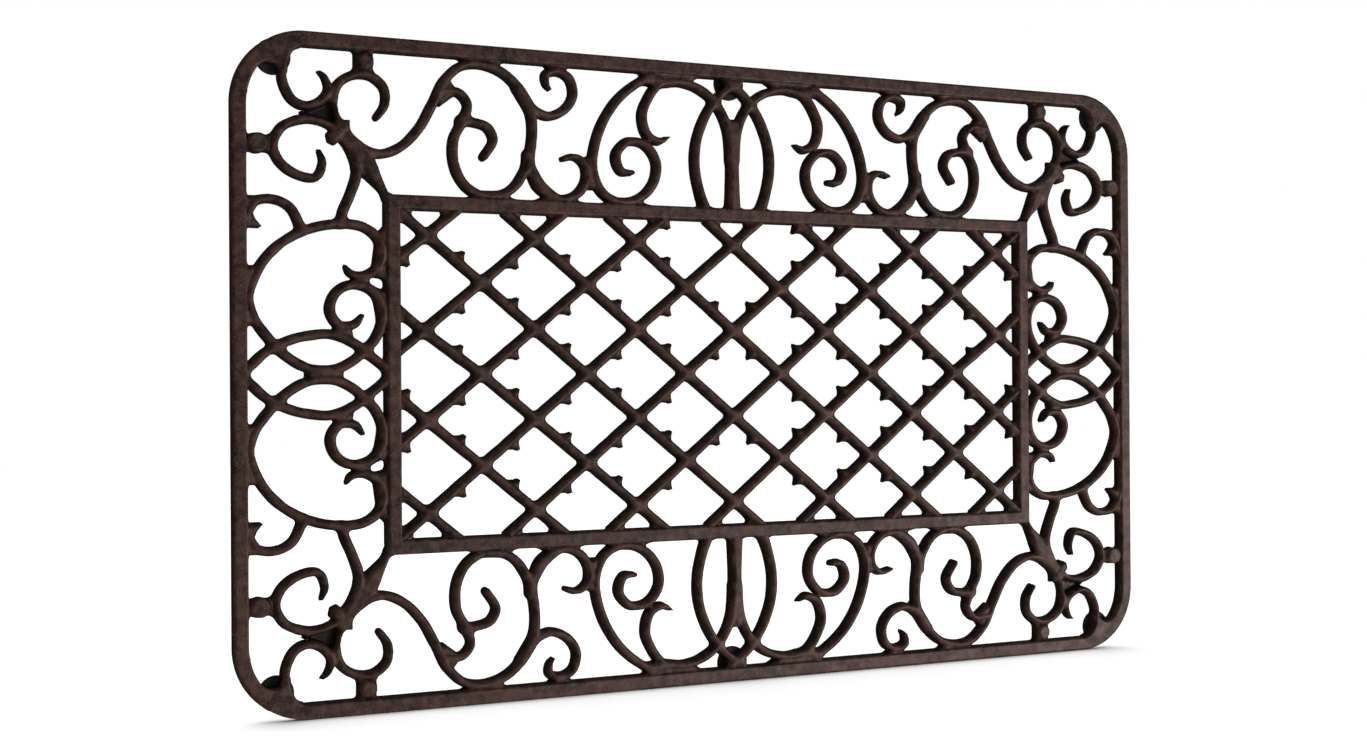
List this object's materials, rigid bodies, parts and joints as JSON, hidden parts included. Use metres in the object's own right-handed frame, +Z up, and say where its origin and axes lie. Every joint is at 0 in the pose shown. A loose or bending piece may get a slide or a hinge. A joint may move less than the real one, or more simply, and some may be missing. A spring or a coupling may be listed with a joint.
{
  "type": "door mat",
  "caption": "Flat open-work iron door mat: rounded rim, scrollwork border, inner frame and diamond lattice, on rubber feet.",
  "frame": {"origin": "middle of the floor under the mat", "axes": "+X along the length, +Y along the width, +Z up out of the patterned face"},
  "size_m": [0.75, 0.45, 0.013],
  "materials": {
    "cast_iron": "dark brown-black satin coating over a sand-cast skin",
    "rubber": "matte black"
  },
  "bodies": {
    "root": {"rim_back": "cast_iron", "rim_front": "cast_iron", "rim_left": "cast_iron", "rim_right": "cast_iron", "rim_corner_back_left": "cast_iron", "rim_corner_back_right": "cast_iron", "rim_corner_front_left": "cast_iron", "rim_corner_front_right": "cast_iron", "frame_back": "cast_iron", "frame_front": "cast_iron", "frame_left": "cast_iron", "frame_right": "cast_iron", "lattice": "cast_iron", "corner_ornament_back_left": "cast_iron", "corner_ornament_back_right": "cast_iron", "corner_ornament_front_left": "cast_iron", "corner_ornament_front_right": "cast_iron", "s_scroll_back_left": "cast_iron", "s_scroll_back_right": "cast_iron", "s_scroll_front_left": "cast_iron", "s_scroll_front_right": "cast_iron", "rim_curl_back_left": "cast_iron", "rim_curl_back_right": "cast_iron", "rim_curl_front_left": "cast_iron", "rim_curl_front_right": "cast_iron", "frame_curl_back_left": "cast_iron", "frame_curl_back_right": "cast_iron", "frame_curl_front_left": "cast_iron", "frame_curl_front_right": "cast_iron", "pear_scroll_back_left": "cast_iron", "pear_scroll_back_right": "cast_iron", "pear_scroll_front_left": "cast_iron", "pear_scroll_front_right": "cast_iron", "side_hook_back_left": "cast_iron", "side_hook_back_right": "cast_iron", "side_hook_front_left": "cast_iron", "side_hook_front_right": "cast_iron", "side_scroll_back_left": "cast_iron", "side_scroll_back_right": "cast_iron", "side_scroll_front_left": "cast_iron", "side_scroll_front_right": "cast_iron", "side_spiral_back_left": "cast_iron", "side_spiral_back_right": "cast_iron", "side_spiral_front_left": "cast_iron", "side_spiral_front_right": "cast_iron", "crossing_loops_back": "cast_iron", "crossing_loops_front": "cast_iron", "crossing_arcs_left": "cast_iron", "crossing_arcs_right": "cast_iron", "rubber_foot_back_left": "rubber", "rubber_foot_back_right": "rubber", "rubber_foot_front_left": "rubber", "rubber_foot_front_right": "rubber", "rubber_foot_back_middle": "rubber", "rubber_foot_front_middle": "rubber"}
  },
  "joints": []
}
